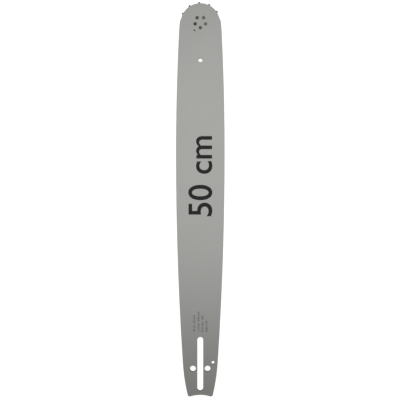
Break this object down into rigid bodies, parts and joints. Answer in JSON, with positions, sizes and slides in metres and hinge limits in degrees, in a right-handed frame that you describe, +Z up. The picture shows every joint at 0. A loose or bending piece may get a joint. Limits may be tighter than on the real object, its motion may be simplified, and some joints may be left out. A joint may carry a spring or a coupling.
{
  "type": "chainsaw guide bar",
  "caption": "Flat steel guide bar for a chainsaw, with a chain groove round its edge, a sprocket built into the rounded nose and a slotted tail that clamps to the saw.",
  "frame": {"origin": "middle of the stud slot, on the underside of the back plate, which the bar lies on", "axes": "+Y along the bar to the nose, +Z up through the plates, +X across the bar"},
  "size_m": [0.0728, 0.5905, 0.0046],
  "materials": {
    "plate_finish": "satin",
    "core_steel": "satin",
    "sprocket_steel": "satin",
    "bearing_steel": "polished",
    "rivet_steel": "satin"
  },
  "bodies": {
    "bar": {"back_plate": "plate_finish", "core_plate": "core_steel", "front_plate": "plate_finish", "bearing_race": "bearing_steel", "nose_rivets": "rivet_steel"},
    "sprocket": {"nose_sprocket": "sprocket_steel"},
    "rollers": {"bearing_roller_01": "bearing_steel", "bearing_roller_02": "bearing_steel", "bearing_roller_03": "bearing_steel", "bearing_roller_04": "bearing_steel", "bearing_roller_05": "bearing_steel", "bearing_roller_06": "bearing_steel", "bearing_roller_07": "bearing_steel", "bearing_roller_08": "bearing_steel", "bearing_roller_09": "bearing_steel", "bearing_roller_10": "bearing_steel", "bearing_roller_11": "bearing_steel", "bearing_roller_12": "bearing_steel", "bearing_roller_13": "bearing_steel", "bearing_roller_14": "bearing_steel", "bearing_roller_15": "bearing_steel", "bearing_roller_16": "bearing_steel", "bearing_roller_17": "bearing_steel", "bearing_roller_18": "bearing_steel", "bearing_roller_19": "bearing_steel", "bearing_roller_20": "bearing_steel", "bearing_roller_21": "bearing_steel", "bearing_roller_22": "bearing_steel", "bearing_roller_23": "bearing_steel", "bearing_roller_24": "bearing_steel", "bearing_roller_25": "bearing_steel", "bearing_roller_26": "bearing_steel", "bearing_roller_27": "bearing_steel", "bearing_roller_28": "bearing_steel"}
  },
  "joints": [
    {"name": "sprocket_spin", "type": "hinge", "parent": "bar", "child": "sprocket", "pos_m": [0, 0.5112, 0.0023], "axis": [0, 0, 1], "continuous": true},
    {"name": "roller_travel", "type": "hinge", "parent": "bar", "child": "rollers", "pos_m": [0, 0.5112, 0.0023], "axis": [0, 0, 1], "continuous": true}
  ],
  "couplings": [
    {"joint": "roller_travel", "follows": "sprocket_spin", "ratio": 0.5554}
  ]
}
